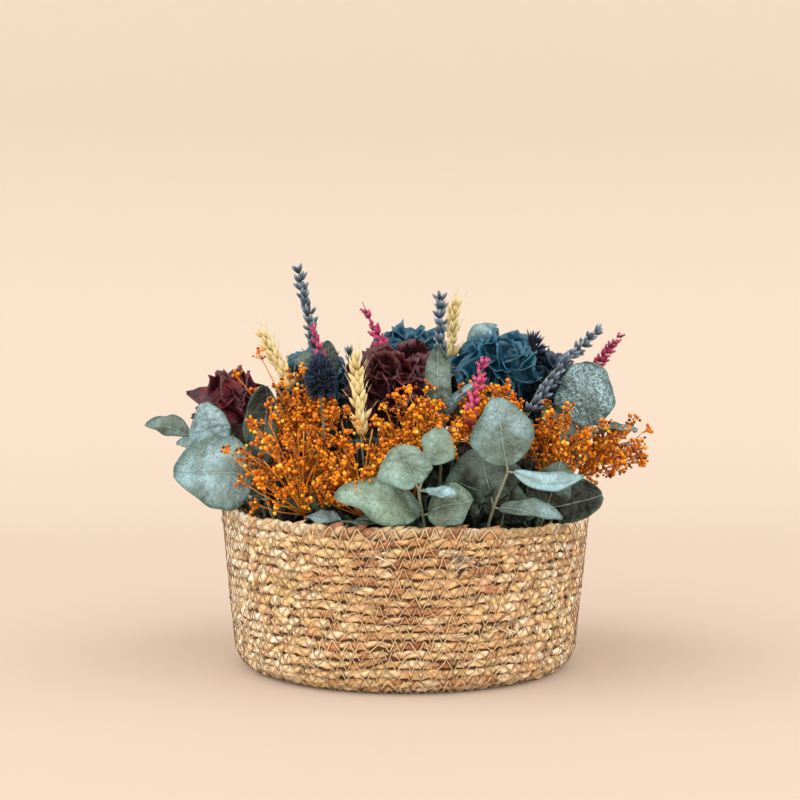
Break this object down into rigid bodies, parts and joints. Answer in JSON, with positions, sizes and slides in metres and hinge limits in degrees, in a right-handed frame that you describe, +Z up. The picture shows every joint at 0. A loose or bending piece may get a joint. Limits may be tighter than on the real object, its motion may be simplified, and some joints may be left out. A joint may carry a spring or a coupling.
{
  "type": "flower basket arrangement",
  "caption": "Round stitched-rope seagrass basket filled with preserved eucalyptus leaves, hydrangea heads, gypsophila sprays, lavender, pink spikes and wheat ears standing in dry foam",
  "frame": {"origin": "the middle of the basket's flat underside, where it stands on the surface", "axes": "Z up; the front of the arrangement faces -Y; X runs from its left to its right as seen from the front"},
  "size_m": [0.3243, 0.2554, 0.26],
  "materials": {
    "seagrass": "matte",
    "floral_foam": "matte",
    "eucalyptus": "matte",
    "gypsophila": "matte",
    "lavender": "matte",
    "pink_floret": "matte",
    "wheat": "matte",
    "thistle": "matte",
    "burgundy_petal": "matte",
    "teal_petal": "matte",
    "navy_petal": "matte"
  },
  "bodies": {
    "root": {"basket": "seagrass", "foam_block": "floral_foam", "eucalyptus_back_centre": "eucalyptus", "eucalyptus_back_high": "eucalyptus", "eucalyptus_back_left": "eucalyptus", "eucalyptus_back_right": "eucalyptus", "eucalyptus_centre_tall": "eucalyptus", "eucalyptus_front_centre": "eucalyptus", "eucalyptus_front_far_right": "eucalyptus", "eucalyptus_front_low": "eucalyptus", "eucalyptus_front_right": "eucalyptus", "eucalyptus_left": "eucalyptus", "eucalyptus_left_high": "eucalyptus", "eucalyptus_right": "eucalyptus", "eucalyptus_side_left": "eucalyptus", "eucalyptus_side_right": "eucalyptus", "eucalyptus_top_left": "eucalyptus", "eucalyptus_top_right": "eucalyptus", "gypsophila_back": "gypsophila", "gypsophila_back_right": "gypsophila", "gypsophila_centre": "gypsophila", "gypsophila_far_right": "gypsophila", "gypsophila_front": "gypsophila", "gypsophila_front_left": "gypsophila", "gypsophila_left": "gypsophila", "gypsophila_mid_left": "gypsophila", "gypsophila_right": "gypsophila", "gypsophila_top": "gypsophila", "hydrangea_burgundy_back": "burgundy_petal", "hydrangea_burgundy_centre": "burgundy_petal", "hydrangea_burgundy_left": "burgundy_petal", "hydrangea_navy_right": "navy_petal", "hydrangea_teal_back": "teal_petal", "hydrangea_teal_centre": "teal_petal", "hydrangea_teal_right": "teal_petal", "lavender_back_left": "lavender", "lavender_back_right": "lavender", "lavender_centre": "lavender", "lavender_left": "lavender", "lavender_right": "lavender", "lavender_right_front": "lavender", "pink_spike_back": "pink_floret", "pink_spike_centre": "pink_floret", "pink_spike_front": "pink_floret", "pink_spike_left": "pink_floret", "pink_spike_right": "pink_floret", "thistle_back": "thistle", "thistle_left": "thistle", "thistle_right": "thistle", "wheat_back": "wheat", "wheat_centre": "wheat", "wheat_left": "wheat", "wheat_top": "wheat"}
  },
  "joints": []
}
